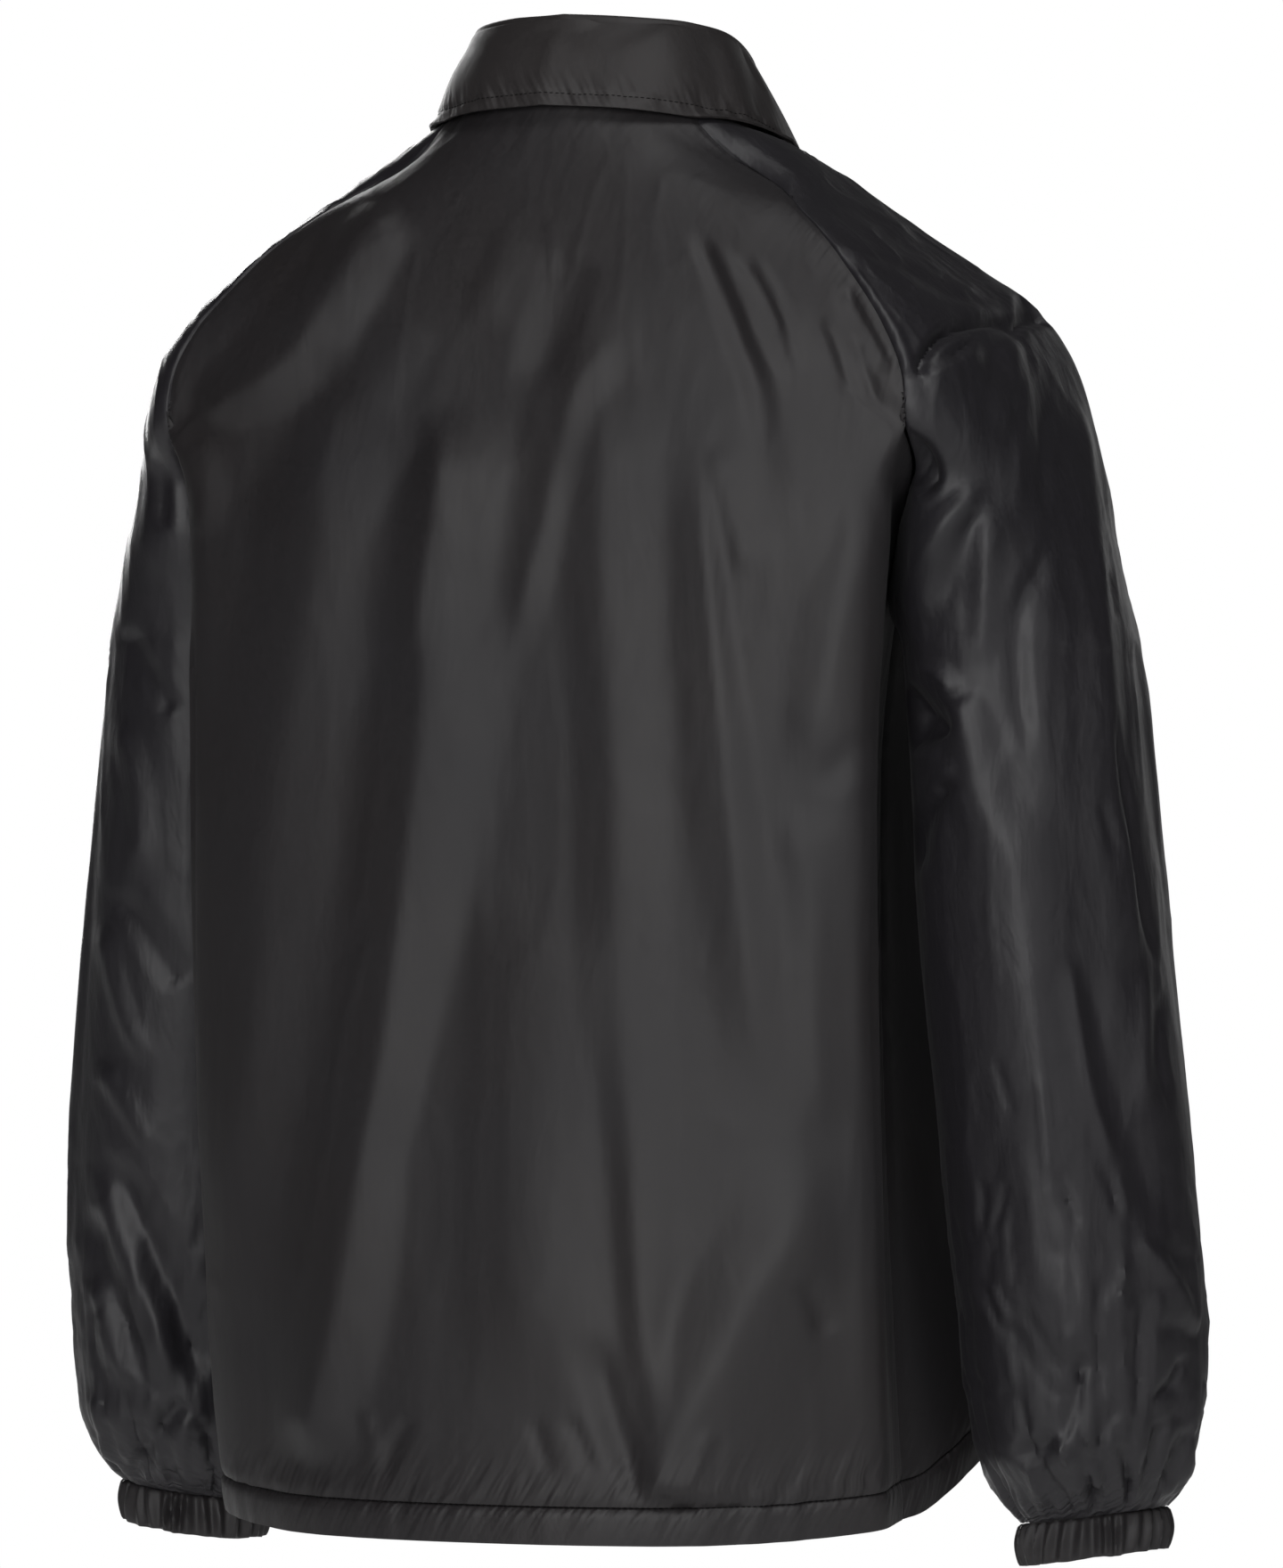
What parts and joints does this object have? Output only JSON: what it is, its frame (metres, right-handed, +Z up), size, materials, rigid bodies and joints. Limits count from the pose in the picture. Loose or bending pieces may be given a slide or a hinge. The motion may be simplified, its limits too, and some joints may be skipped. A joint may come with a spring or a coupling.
{
  "type": "coach jacket",
  "caption": "Hollow worn coach jacket in plain black nylon, with raglan sleeves, a turned-down pointed collar, snap front, hem casing and gathered cuffs.",
  "frame": {"origin": "middle of the neck opening at the height of the side neck, where the wearer's neck and shoulders hold the jacket", "axes": "+Z up along the back, -Y out of the front, +X to the wearer's left"},
  "size_m": [0.6328, 0.3128, 0.7921],
  "materials": {
    "nylon": "smooth satin black nylon taffeta",
    "gathered_nylon": "the same black nylon, gathered over elastic or turned as a casing",
    "snap": "satin black snap cap"
  },
  "bodies": {
    "root": {"back": "nylon", "front_left": "nylon", "front_right": "nylon", "sleeve_left": "nylon", "sleeve_right": "nylon", "collar": "nylon", "cuff_left": "gathered_nylon", "cuff_right": "gathered_nylon", "hem_casing_back": "gathered_nylon", "hem_casing_front_left": "gathered_nylon", "hem_casing_front_right": "gathered_nylon", "snap_cap_1": "snap", "snap_cap_2": "snap", "snap_cap_3": "snap", "snap_cap_4": "snap", "snap_cap_5": "snap"}
  },
  "joints": []
}
